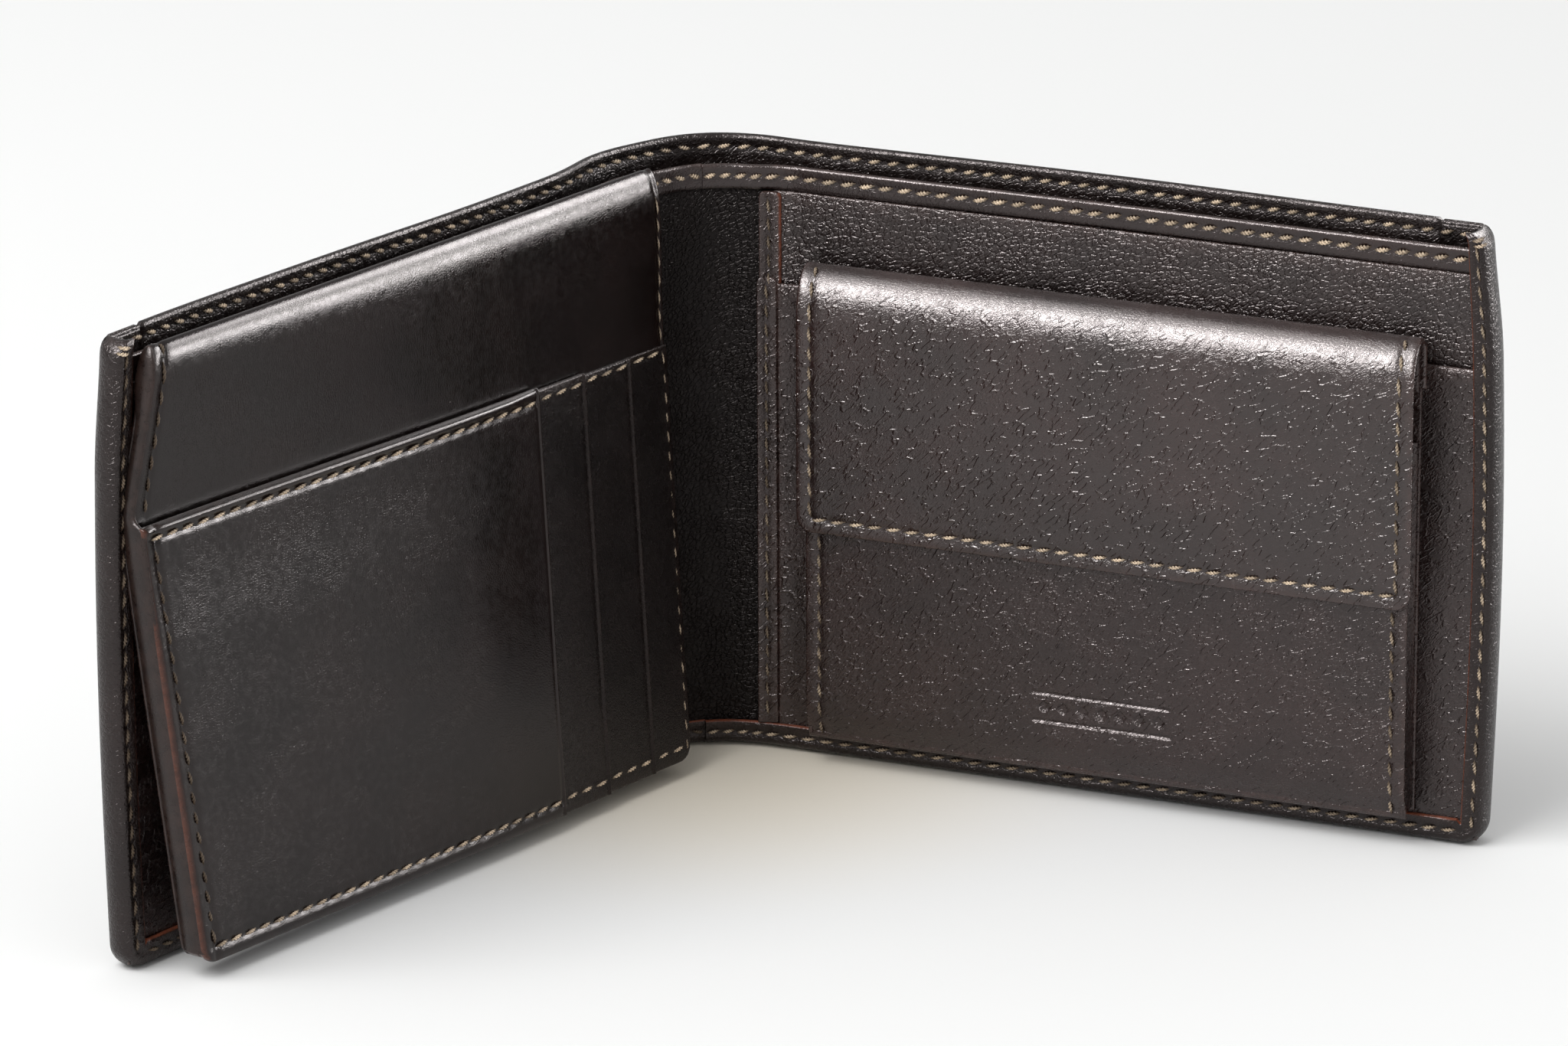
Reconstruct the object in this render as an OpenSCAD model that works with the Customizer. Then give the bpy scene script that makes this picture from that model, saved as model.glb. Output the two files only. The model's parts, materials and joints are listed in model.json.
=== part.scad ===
// Bifold wallet with a note compartment, a coin pocket and a flip-up card wing.
// It stands on its bottom edges, half open, with the inner faces towards -Y.
// Each half is drawn flat in a frame of its own: u runs from the fold to the free
// edge, d is the depth in from the outer face, and z is up. on_right() and on_left()
// place that frame. The spine is drawn as arcs about its own centre by on_spine().

/* [Size] */
// Height of the wallet
height = 95; // [90:1:100]
// Length of each half, from its fold line to its free edge
half_len = 112.5; // [112:0.5:116]
// Length of the spine round its outer face
spine_len = 27; // [27:0.5:29]
// Angle between the two halves as the wallet stands
open_angle = 108.5; // [106:0.5:112]

/* [Leather] */
// Thickness of the cover
cover_t = 1.1; // [1:0.05:1.2]
// Thickness of the cover's skived, turned edge
turn_t = 0.7; // [0.6:0.05:0.8]
// Thickness of the divider between the notes and the pockets
divider_t = 1; // [0.9:0.05:1.1]
// Thickness of the pocket leather
panel_t = 0.7; // [0.6:0.05:0.75]
// Thickness of the thin pocket layers and linings
lining_t = 0.4; // [0.3:0.05:0.45]
// Depth of the empty note compartment
note_gap = 1.2; // [1:0.1:1.3]

/* [Borders and hems] */
// Width of the turned border at the free edge
side_border = 3.7; // [3:0.1:4.5]
// Width of the turned border along the bottom
bottom_border = 4.2; // [3.5:0.1:5]
// Width of the turned edge along the cover's top
top_turn = 5.5; // [5:0.1:6.5]
// How far the divider's top lies below the cover's top
divider_drop = 3; // [2.5:0.1:3.5]
// Width of the hem along the divider's top
hem = 3.8; // [3.5:0.1:4.5]

/* [Coin pocket] */
// Distance from the fold to the pocket's near side
coin_u = 7.6; // [7:0.1:9]
// Width of the pocket's body
coin_w = 94.4; // [90:0.2:96]
// Space inside the pocket, front to back
coin_room = 4.4; // [4.2:0.1:4.6]
// Height of the pocket's mouth above the bottom edge
coin_mouth = 64; // [60:1:66]
// Height of the flap's bottom edge
flap_bottom = 38; // [36:1:42]
// Height of the flap's rolled top
flap_top = 78.8; // [78:0.2:80]
// Thickness of the flap, which is two leathers with the socket between them
flap_t = 1.5; // [1.4:0.1:1.6]

/* [Card wing] */
// Width of the wing
wing_w = 106.6; // [104:0.2:107]
// Length of the wing below its hinge
wing_len = 89.5; // [86:0.5:89.5]
// Distance from the hinge down to the card pocket's edge
wing_pocket_v = 24; // [22:0.5:28]
// Distance between one card slot's edge and the next
slot_step = 9.8; // [9:0.1:11]
// How far the wing leans out at rest
wing_tilt = 2; // [1:0.5:2]

/* [Stitching and stud] */
// Thickness of the sewing thread
thread = 0.5; // [0.4:0.05:0.6]
// Distance of a seam from its edge
seam_inset = 2.2; // [2:0.1:2.6]
// Radius of the press stud's rims
stud_rim_r = 4.5; // [4:0.1:5]
// Radius of the press stud's post
stud_post_r = 1.8; // [1.6:0.1:2]

/* [Hidden] */
$fn = 48;
// Room that keeps moving leather apart
clear = 0.3;
// Thickness of a border's outer wall
wall = 1;

bend = 180 - open_angle;
spine_r = spine_len/(bend*PI/180);
// Share of the spine's arc, in degrees, left free at each end for the fold to close
trim_cover = 1.6;
trim_turn = 6;
trim_inner = 17;

// Depths of the layers that both halves share
lining_d = cover_t;
divider_d = lining_d + lining_t + note_gap;
panel_d = divider_d + divider_t;
divider_top = height - divider_drop;
panel_top = divider_top - hem - 0.1;

// Right half
slip_d = panel_d + panel_t;
slip_t = panel_t - 0.1;
slip_top = height - 21;
lip_right_d = slip_d + slip_t;
coin_back_t = slip_t;
coin_inside_d = lip_right_d + coin_back_t;
coin_front_d = coin_inside_d + coin_room;
coin_bottom = bottom_border + 0.4;
flap_d = coin_front_d + panel_t + 0.1;
flap_roll_r = 2.2;
flap_axis_d = flap_d + flap_t - flap_roll_r;
flap_axis_z = flap_top - flap_roll_r;
flap_over = 0.9;
stud_u = coin_u + coin_w/2;
stud_z = flap_bottom + 9;

// Left half
lip_left_d = panel_d + panel_t;
wing_roll_r = 1.9;
wing_core_r = 1.1;
wing_axis_d = lip_left_d + turn_t + wing_roll_r + 0.1;
wing_axis_z = height - 3;
wing_u = 0.8;

// The spine's inner layers lie close to the cover, so that the fold can close
spine_divider_d = lining_d + lining_t + clear;

left_fold = [-spine_r*sin(bend), -spine_r*(1 - cos(bend)), 0];
low_corner = left_fold - [half_len*cos(bend), half_len*sin(bend) + (lip_left_d + turn_t)*cos(bend), 0];
origin_shift = -[(half_len + low_corner.x)/2, low_corner.y/2, 0];

leather = [0.16, 0.1, 0.08];
leather_dark = [0.1, 0.06, 0.05];
lining_brown = [0.24, 0.16, 0.12];
thread_tan = [0.72, 0.6, 0.42];
brass = [0.72, 0.6, 0.3];

// ---- frames ----

module on_right() translate(origin_shift) mirror([0, 1, 0]) children();

module on_left() translate(origin_shift + left_fold) rotate(180 + bend) children();

module on_spine() translate(origin_shift - [0, spine_r, 0]) rotate(90) children();

// The wing's frame: w is out from the hinge axis and v is down from it
module on_wing()
    on_left() translate([wing_u, wing_axis_d, wing_axis_z]) rotate([wing_tilt, 0, 0]) children();

// ---- shapes that repeat ----

module sheet(u0, u1, d0, d1, z0, z1)
    translate([u0, d0, z0]) cube([u1 - u0, d1 - d0, z1 - z0]);

// A sheet whose two free-edge corners are round
module round_sheet(u0, u1, d0, d1, z0, z1, r) {
    sheet(u0, u1 - r, d0, d1, z0, z1);
    sheet(u1 - r, u1, d0, d1, z0 + r, z1 - r);
    for (z = [z0 + r, z1 - r])
        translate([u1 - r, d0, z]) rotate([-90, 0, 0]) cylinder(r = r, h = d1 - d0);
}

module curved_sheet(d0, d1, z0, z1, trim)
    rotate(trim) rotate_extrude(angle = bend - 2*trim)
        translate([spine_r - d1, z0]) square([d1 - d0, z1 - z0]);

module wing_sheet(u0, u1, w0, w1, v0, v1) sheet(u0, u1, w0, w1, -v1, -v0);

// A seam that runs along u
module seam_u(u0, u1, d, z)
    sheet(u0, u1, d, d + thread*0.7, z - thread/2, z + thread/2);

// A seam that runs along z
module seam_z(u, d, z0, z1)
    sheet(u - thread/2, u + thread/2, d, d + thread*0.7, z0, z1);

// A roll of leather along u about a hinge axis
module roll(len, r) rotate([0, 90, 0]) cylinder(r = r, h = len);

// ---- layers that both halves have ----

// Cover leather, turned over the panels at the bottom and at the free edge
module half_cover(lip_d) {
    lip_end = lip_d + turn_t;
    round_sheet(clear, half_len, 0, cover_t, 0, height, 2);
    sheet(clear, half_len - wall, cover_t, cover_t + turn_t, height - top_turn, height);
    sheet(half_len - wall, half_len, cover_t, lip_end, 2, height - 2);
    sheet(clear, half_len - 2, cover_t, lip_end, 0, wall);
    sheet(half_len - side_border, half_len, lip_d, lip_end, 2, height - 2);
    sheet(clear, half_len - 2, lip_d, lip_end, 0, bottom_border);
}

module half_note_lining()
    sheet(clear, half_len - wall, lining_d, lining_d + lining_t, wall, height - top_turn - 0.1);

module half_divider() {
    sheet(clear, half_len - wall, divider_d, panel_d, wall, divider_top);
    sheet(clear, half_len - side_border, panel_d, panel_d + lining_t, divider_top - hem, divider_top);
}

module half_top_thread()
    seam_u(clear, half_len - side_border, cover_t + turn_t, height - seam_inset - 0.3);

module half_hem_thread()
    seam_u(clear, half_len - side_border - clear, panel_d + lining_t, divider_top - hem/2);

module half_border_thread(lip_d) {
    seam_z(half_len - seam_inset, lip_d + turn_t, seam_inset + thread/2, height - 3);
    seam_u(clear, half_len - seam_inset + thread/2, lip_d + turn_t, seam_inset);
}

// ---- right half ----

module cover_right() color(leather) on_right() half_cover(lip_right_d);

module note_lining_right() color(lining_brown) on_right() half_note_lining();

module divider_right() color(leather_dark) on_right() half_divider();

module header_panel_right() color(leather) on_right()
    sheet(clear, half_len - wall, panel_d, slip_d, wall, panel_top);

// Strip turned round the panels' near edge
module turned_strip_right() color(leather_dark) on_right()
    sheet(clear, clear + 2.4, slip_d, slip_d + lining_t, bottom_border + 0.1, panel_top);

module slip_pocket_right() color(leather) on_right()
    sheet(clear + 2.6, half_len - wall, slip_d, lip_right_d, wall, slip_top);

module coin_pocket_back() color(leather_dark) on_right()
    sheet(coin_u, coin_u + coin_w, lip_right_d, coin_inside_d, coin_bottom, flap_axis_z);

// Folded side wall of the coin pocket, with a fold that stands inwards
module coin_gusset(side) {
    near = side < 0 ? coin_u + 0.4 : coin_u + coin_w - 0.4 - lining_t*2;
    sheet(near, near + lining_t*2, coin_inside_d, coin_front_d - clear,
          coin_bottom + lining_t*2, coin_mouth - 2);
}

module coin_gusset_near() color(leather_dark) on_right() coin_gusset(-1);

module coin_gusset_far() color(leather_dark) on_right() coin_gusset(1);

module coin_pocket_floor() color(leather_dark) on_right()
    sheet(coin_u + 0.4, coin_u + coin_w - 0.4, coin_inside_d, coin_front_d - clear,
          coin_bottom, coin_bottom + lining_t*2);

// Leather that carries the flap's roll on the pocket's back
module coin_flap_hinge_strip() color(leather_dark) on_right() difference() {
    sheet(coin_u, coin_u + coin_w, coin_inside_d, flap_axis_d - flap_roll_r - thread - 0.2,
          coin_mouth + 6, flap_top - 1);
    translate([coin_u - 1, flap_axis_d, flap_axis_z])
        roll(coin_w + 2, flap_roll_r + thread + clear);
}

module cover_top_thread_right() color(thread_tan) on_right() half_top_thread();

module divider_hem_thread_right() color(thread_tan) on_right() half_hem_thread();

module border_thread_right() color(thread_tan) on_right() half_border_thread(lip_right_d);

module strip_thread_right() color(thread_tan) on_right()
    seam_z(clear + 1.6, slip_d + lining_t, bottom_border + 0.3, panel_top - 0.5);

// ---- coin pocket front, which leans out when the flap is lifted ----

module stud_solid() {
    cylinder(r = stud_rim_r, h = 0.35);
    cylinder(r = stud_post_r, h = panel_t + 0.7);
}

module at_stud(d) translate([stud_u, d, stud_z]) rotate([-90, 0, 0]) children();

module coin_front_panel() color(leather) on_right() difference() {
    sheet(coin_u, coin_u + coin_w, coin_front_d, coin_front_d + panel_t, coin_bottom, coin_mouth);
    at_stud(coin_front_d - 1) cylinder(r = stud_rim_r, h = 1.35);
    at_stud(coin_front_d - 1) cylinder(r = stud_post_r, h = panel_t + 2);
}

module coin_front_thread() color(thread_tan) on_right()
    for (u = [coin_u + seam_inset, coin_u + coin_w - seam_inset])
        seam_z(u, coin_front_d + panel_t, coin_bottom + 0.4, flap_bottom - 1);

module snap_stud() color(brass) on_right() at_stud(coin_front_d) stud_solid();

// ---- coin pocket flap ----

module flap_plate(d0, d1, inset)
    sheet(coin_u - flap_over + inset, coin_u + coin_w + flap_over - inset, d0, d1,
          flap_bottom + inset, flap_axis_z);

module coin_flap_leather() color(leather) on_right() {
    difference() {
        flap_plate(flap_d + flap_t - 0.8, flap_d + flap_t, 0);
        translate([coin_u - 5, flap_axis_d, flap_axis_z]) roll(coin_w + 10, flap_roll_r - 0.9);
    }
    translate([coin_u - flap_over, flap_axis_d, flap_axis_z]) difference() {
        roll(coin_w + 2*flap_over, flap_roll_r);
        translate([-1, 0, 0]) roll(coin_w + 2*flap_over + 2, flap_roll_r - 0.9);
    }
}

module coin_flap_lining() color(lining_brown) on_right() difference() {
    sheet(coin_u - flap_over + 0.1, coin_u + coin_w + flap_over - 0.1, flap_d, flap_d + lining_t,
          flap_bottom + 0.1, flap_axis_z - flap_roll_r - 0.1);
    at_stud(flap_d - 1) cylinder(r = stud_post_r + 0.5, h = lining_t + 2);
}

module snap_socket() color(brass) on_right() at_stud(flap_d + lining_t) difference() {
    cylinder(r = stud_rim_r, h = flap_t - 0.8 - lining_t);
    translate([0, 0, -1]) cylinder(r = stud_post_r + 0.4, h = 3);
}

module coin_flap_thread() color(thread_tan) on_right() {
    d = flap_d + flap_t;
    near = coin_u - flap_over + seam_inset;
    far = coin_u + coin_w + flap_over - seam_inset;
    for (u = [near, far])
        seam_z(u, d, flap_bottom + seam_inset + thread/2, flap_axis_z);
    seam_u(near - thread/2, far + thread/2, d, flap_bottom + seam_inset);
}

// ---- spine ----

module cover_spine() color(leather) on_spine() {
    lip_end = spine_divider_d + divider_t + lining_t;
    curved_sheet(0, cover_t, 0, height, trim_cover);
    curved_sheet(cover_t, cover_t + turn_t, height - top_turn, height, trim_turn);
    curved_sheet(cover_t, lip_end, 0, wall, trim_inner);
    curved_sheet(spine_divider_d + divider_t, lip_end, 0, bottom_border, trim_inner);
}

module note_lining_spine() color(lining_brown) on_spine()
    curved_sheet(lining_d, lining_d + lining_t, wall, height - top_turn - 0.1, trim_turn);

module divider_spine() color(leather_dark) on_spine() {
    hem_d = spine_divider_d + divider_t;
    curved_sheet(spine_divider_d, hem_d, wall, divider_top, trim_inner);
    curved_sheet(hem_d, hem_d + lining_t, divider_top - hem, divider_top, trim_inner);
}

module cover_top_thread_spine() color(thread_tan) on_spine()
    curved_sheet(cover_t + turn_t, cover_t + turn_t + 0.25, height - seam_inset - 0.5,
                 height - seam_inset, trim_turn + 2);

module divider_hem_thread_spine() color(thread_tan) on_spine() {
    d = spine_divider_d + divider_t + lining_t;
    curved_sheet(d, d + 0.25, divider_top - hem/2 - thread/2, divider_top - hem/2 + thread/2,
                 trim_inner + 2);
}

// ---- left half ----

module cover_left() color(leather) on_left() half_cover(lip_left_d);

module note_lining_left() color(lining_brown) on_left() half_note_lining();

module divider_left() color(leather_dark) on_left() half_divider();

module inner_panel_left() color(leather) on_left()
    sheet(clear, half_len - wall, panel_d, lip_left_d, wall, panel_top);

module cover_top_thread_left() color(thread_tan) on_left() half_top_thread();

module divider_hem_thread_left() color(thread_tan) on_left() half_hem_thread();

module border_thread_left() color(thread_tan) on_left() half_border_thread(lip_left_d);

// ---- card wing ----

// Piping sewn to the inner panel's top, which the wing's rolled top turns on
module wing_hinge_core() color(lining_brown) on_wing()
    translate([0.5, 0, 0]) roll(wing_w - 1, wing_core_r);

// Front leather, rolled over the top
module wing_front_panel() color(leather) on_wing() {
    difference() {
        roll(wing_w, wing_roll_r);
        translate([-1, 0, 0]) roll(wing_w + 2, wing_core_r + 0.1);
    }
    wing_sheet(0, wing_w, 0.3, 1, wing_core_r + 0.4, wing_len);
}

module wing_back_panel() color(leather_dark) on_wing() difference() {
    wing_sheet(0, wing_w, -wing_roll_r, -wing_roll_r + panel_t, 0.5, wing_len);
    translate([-1, 0, 0]) roll(wing_w + 2, wing_roll_r);
}

// One card layer: its near edge is the slot's mouth
module wing_layer(mouth_u, w0, w1, drop)
    wing_sheet(mouth_u, wing_w, w0, w1, wing_pocket_v + drop, wing_len);

module wing_slot_panel_low() color(leather) on_wing() wing_layer(slot_step, 1, 1.5, 1);

module wing_slot_panel_mid() color(leather) on_wing() wing_layer(2*slot_step, 1.5, 2, 0.5);

module wing_pocket_panel() color(leather) on_wing() wing_layer(3*slot_step, 2, 2 + panel_t, 0);

module wing_edge_thread() color(thread_tan) on_wing() {
    face = 1;
    wing_sheet(1.4, 1.4 + thread, face, face + 0.3, wing_roll_r, wing_len - seam_inset);
    wing_sheet(wing_w - seam_inset, wing_w - seam_inset + thread, face, face + 0.3,
               wing_roll_r, wing_pocket_v - 0.5);
    wing_sheet(wing_w - seam_inset, wing_w - seam_inset + thread, 2 + panel_t, 2.3 + panel_t,
               wing_pocket_v + 3, wing_len - seam_inset);
    wing_sheet(3*slot_step + 1, wing_w - seam_inset + thread, 2 + panel_t, 2.3 + panel_t,
               wing_len - seam_inset, wing_len - seam_inset + thread);
}

module wing_pocket_thread() color(thread_tan) on_wing()
    wing_sheet(3*slot_step + 1, wing_w - 1, 2 + panel_t, 2.3 + panel_t,
               wing_pocket_v + 1.6, wing_pocket_v + 1.6 + thread);

cover_right();
note_lining_right();
divider_right();
header_panel_right();
turned_strip_right();
slip_pocket_right();
coin_pocket_back();
coin_gusset_near();
coin_gusset_far();
coin_pocket_floor();
coin_flap_hinge_strip();
cover_top_thread_right();
divider_hem_thread_right();
border_thread_right();
strip_thread_right();
coin_front_panel();
coin_front_thread();
snap_stud();
coin_flap_leather();
coin_flap_lining();
snap_socket();
coin_flap_thread();
cover_spine();
note_lining_spine();
divider_spine();
cover_top_thread_spine();
divider_hem_thread_spine();
cover_left();
note_lining_left();
divider_left();
inner_panel_left();
cover_top_thread_left();
divider_hem_thread_left();
border_thread_left();
wing_hinge_core();
wing_front_panel();
wing_back_panel();
wing_slot_panel_low();
wing_slot_panel_mid();
wing_pocket_panel();
wing_edge_thread();
wing_pocket_thread();
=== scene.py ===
"""Bifold wallet: grained leather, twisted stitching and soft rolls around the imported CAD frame.

Every length below is in millimetres, and is scaled to metres when a mesh is made.
A piece is drawn as a slab in flat leather coordinates: a runs along the wallet, q runs across
it, and h is the height above the leather's outer skin. A place function bends that flat slab
into its shape, so seams, grooves and rims are all laid out flat.
"""

import json
import math

import bpy
import bmesh
import numpy as np
from mathutils import Matrix, Vector


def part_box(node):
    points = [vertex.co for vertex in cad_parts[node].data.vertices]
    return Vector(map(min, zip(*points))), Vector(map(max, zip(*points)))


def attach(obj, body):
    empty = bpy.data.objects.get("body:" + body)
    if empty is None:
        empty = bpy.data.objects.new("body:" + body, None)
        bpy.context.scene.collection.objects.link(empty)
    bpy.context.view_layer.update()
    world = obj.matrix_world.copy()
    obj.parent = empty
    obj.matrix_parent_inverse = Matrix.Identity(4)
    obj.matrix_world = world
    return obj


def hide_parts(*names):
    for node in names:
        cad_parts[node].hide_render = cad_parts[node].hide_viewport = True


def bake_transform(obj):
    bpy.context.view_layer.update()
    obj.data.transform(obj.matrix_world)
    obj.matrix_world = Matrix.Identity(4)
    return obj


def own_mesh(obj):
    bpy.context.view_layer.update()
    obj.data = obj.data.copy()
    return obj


MM = 0.001
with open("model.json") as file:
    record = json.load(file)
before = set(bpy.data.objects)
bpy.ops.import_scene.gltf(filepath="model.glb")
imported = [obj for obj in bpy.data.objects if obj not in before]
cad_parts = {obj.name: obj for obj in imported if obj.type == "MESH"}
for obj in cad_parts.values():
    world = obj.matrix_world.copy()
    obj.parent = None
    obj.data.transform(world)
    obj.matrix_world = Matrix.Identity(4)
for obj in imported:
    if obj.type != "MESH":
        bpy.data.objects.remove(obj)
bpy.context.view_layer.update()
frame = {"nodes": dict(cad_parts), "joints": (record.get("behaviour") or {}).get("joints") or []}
rng = np.random.default_rng(7)

# ---- the frame, in millimetres ----

JOINTS = {j["name"]: j for j in frame["joints"]}
HINGE_DEPTH = 0.55
WORD = {1: "right", -1: "left"}


def hinge(name):
    return np.array(JOINTS[name]["pos_m"]) / MM


U_LEFT = np.array(JOINTS["wing_flip"]["axis"])
N_LEFT = np.array([-U_LEFT[1], U_LEFT[0], 0.0])
cover_lo, cover_hi = (np.array(corner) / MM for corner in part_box("cover_right"))
HEIGHT = cover_hi[2]
FOLD_RIGHT = np.array([hinge("spine_fold_right")[0], cover_hi[1], 0.0])
FOLD_LEFT = hinge("spine_fold_left") - HINGE_DEPTH * N_LEFT
HALF = cover_hi[0] - FOLD_RIGHT[0]
BEND = math.acos(-U_LEFT[0])
SPINE_R = np.linalg.norm(FOLD_LEFT - FOLD_RIGHT) / (2 * math.sin(BEND / 2))
ARC = SPINE_R * BEND
MID = -ARC / 2

RIGHT = (FOLD_RIGHT, np.array([1.0, 0, 0]), np.array([0, -1.0, 0]))
LEFT = (FOLD_LEFT, U_LEFT, N_LEFT)


def local_box(node, half):
    """Lowest and highest (u, d, z) of a CAD node, in the flat frame of a half."""
    origin, along, inward = half
    points = np.array([v.co for v in frame["nodes"][node].data.vertices]) / MM - origin
    flat = np.stack([points @ along, points @ inward, points[:, 2]], 1)
    return flat.min(0), flat.max(0)


# ---- place functions ----

def smooth(x, lo, hi):
    t = np.clip((x - lo) / (hi - lo), 0, 1)
    return t * t * (3 - 2 * t)


def hump(x, centre, width):
    return np.exp(-((x - centre) / width) ** 2)


def on_row(s, d, z):
    """s runs along the outer face: right half above 0, spine below 0, then the left half."""
    s, d, z = np.broadcast_arrays(np.asarray(s, float), d, z)
    theta = np.clip(-s, 0, ARC) / SPINE_R
    radius = SPINE_R - d
    x = FOLD_RIGHT[0] - radius * np.sin(theta) + np.maximum(s, 0)
    y = FOLD_RIGHT[1] - SPINE_R + radius * np.cos(theta)
    beyond = np.maximum(-ARC - s, 0)
    return np.stack([x + beyond * U_LEFT[0], y + beyond * U_LEFT[1], z], -1)


def waviness(s, z):
    """How the soft cover strays from its flat faces: negative is outwards."""
    left = -ARC - s
    high = smooth(z, 20, HEIGHT)
    wave = -1.5 * hump(s, MID, 12)
    wave = wave - 1.6 * hump(left, 4, 7) * smooth(left, -12, 0)
    wave = wave + 0.5 * hump(left, 36, 18) + 0.7 * hump(left, HALF, 12)
    wave = wave - 1.3 * high * hump(s, 0.45 * HALF, 36)
    return wave


TOP_CORNER_R = 2.6


def bow(z):
    """How far the free edges bow outwards between bottom and top."""
    return 1.2 * np.sin(np.pi * np.clip(z / HEIGHT, 0, 1))


def trim_top(a, z):
    """Rounds the cover's top free corner, where the outline also leans in."""
    r = TOP_CORNER_R
    rise = np.clip(z - (HEIGHT - r), 0, r)
    lean = 1.1 * smooth(z, HEIGHT - 20, HEIGHT)
    return a - (lean + r - np.sqrt(r * r - rise * rise)) * smooth(a, HALF - 6, HALF)


def spine_bulge(s):
    """The inner leather stands away from the cover round the spine."""
    return 1.6 * smooth(s, 4, -5) * smooth(s, -ARC - 4, -ARC + 5)


def sided(side, u):
    """Distance along the row of a point u from the fold, on side +1 (right) or -1 (left)."""
    return u if side > 0 else -ARC - u


def on_half(side, depth, soft):
    """Places a panel whose outer skin lies at a depth. Soft is its share of the cover's waves."""
    def place(a, h, q):
        s = sided(side, a)
        wave = np.minimum(waviness(s, q), 0.3) * soft
        return on_row(s, depth + spine_bulge(s) + h + wave, q)
    return place


# ---- mesh building ----

def grid_lines(lo, hi, step, fine=(), rim=0.3):
    """Even lines, with closer ones at both ends and round each seam."""
    lines = list(np.linspace(lo, hi, max(2, int((hi - lo) / step) + 1)))
    near = rim * np.array([0.06, 0.25, 0.6, 1.1])
    lines += list(lo + near) + list(hi - near)
    for seam in fine:
        lines += [seam + x for x in (-1.3, -0.7, -0.35, 0, 0.35, 0.7, 1.3)]
    lines = sorted(x for x in lines if lo <= x <= hi)
    kept = [lines[0]]
    for x in lines[1:]:
        if x - kept[-1] > 0.012:
            kept.append(x)
    kept[-1] = hi
    return np.array(kept)


def round_corners(a, q, radii):
    """Moves a grid's corners onto circles. Radii: low-low, high-low, low-high, high-high."""
    a, q = a.copy(), q.copy()
    a0, a1, q0, q1 = a.min(), a.max(), q.min(), q.max()
    for side_a, side_q, r in zip((-1, 1, -1, 1), (-1, -1, 1, 1), radii):
        if r <= 0:
            continue
        ca = a1 - r if side_a > 0 else a0 + r
        cq = q1 - r if side_q > 0 else q0 + r
        x, y = (a - ca) * side_a / r, (q - cq) * side_q / r
        hit = (x > 1e-9) & (y > 1e-9)
        big, small = np.maximum(x, y), np.minimum(x, y)
        angle = math.pi / 4 * small / np.where(big > 0, big, 1)
        along, across = big * np.cos(angle), big * np.sin(angle)
        a = np.where(hit, ca + side_a * r * np.where(x >= y, along, across), a)
        q = np.where(hit, cq + side_q * r * np.where(x >= y, across, along), q)
    return a, q


def grid_faces(n, m, start=0, flip=False):
    i, j = np.meshgrid(np.arange(n - 1), np.arange(m - 1), indexing="ij")
    corner = (start + i * m + j).ravel()
    faces = np.stack([corner, corner + m, corner + m + 1, corner + 1], 1)
    return faces[:, ::-1] if flip else faces


def make_object(name, points, faces, material, attributes=None, merge=True):
    """A smooth mesh facing outwards, from points in millimetres and values for each point."""
    mesh = bpy.data.meshes.new(name)
    mesh.from_pydata((points * MM).tolist(), [], [list(map(int, f)) for f in faces])
    for key, values in (attributes or {}).items():
        layer = mesh.attributes.new(key, "FLOAT", "POINT")
        layer.data.foreach_set("value", np.asarray(values, np.float32))
    work = bmesh.new()
    work.from_mesh(mesh)
    if merge:
        bmesh.ops.remove_doubles(work, verts=work.verts, dist=2e-6)
        bmesh.ops.dissolve_degenerate(work, dist=1e-7, edges=work.edges)
    bmesh.ops.recalc_face_normals(work, faces=work.faces)
    if work.calc_volume(signed=True) < 0:
        bmesh.ops.reverse_faces(work, faces=work.faces)
    for face in work.faces:
        face.smooth = True
    work.to_mesh(mesh)
    work.free()
    obj = bpy.data.objects.new(name, mesh)
    bpy.context.scene.collection.objects.link(obj)
    obj.data.materials.append(material)
    return obj


PITCH = 2.95
STEP = 0.98  # about a third of the pitch, so that each needle hole shows in the mesh


def groove(a, q, seams):
    """Seams press a channel into the leather, deepest at each needle hole."""
    depth = np.zeros_like(a)
    for axis, position, lo, hi in seams:
        along, across = (a, q) if axis == "a" else (q, a)
        channel = 0.26 * hump(across, position, 0.6)
        holes = 0.72 + 0.28 * np.cos(2 * np.pi * (along - lo) / PITCH)
        ends = smooth(along, lo - 0.5, lo + 0.5) * smooth(along, hi + 0.5, hi - 0.5)
        depth = depth + channel * holes * ends
    return depth


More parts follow.
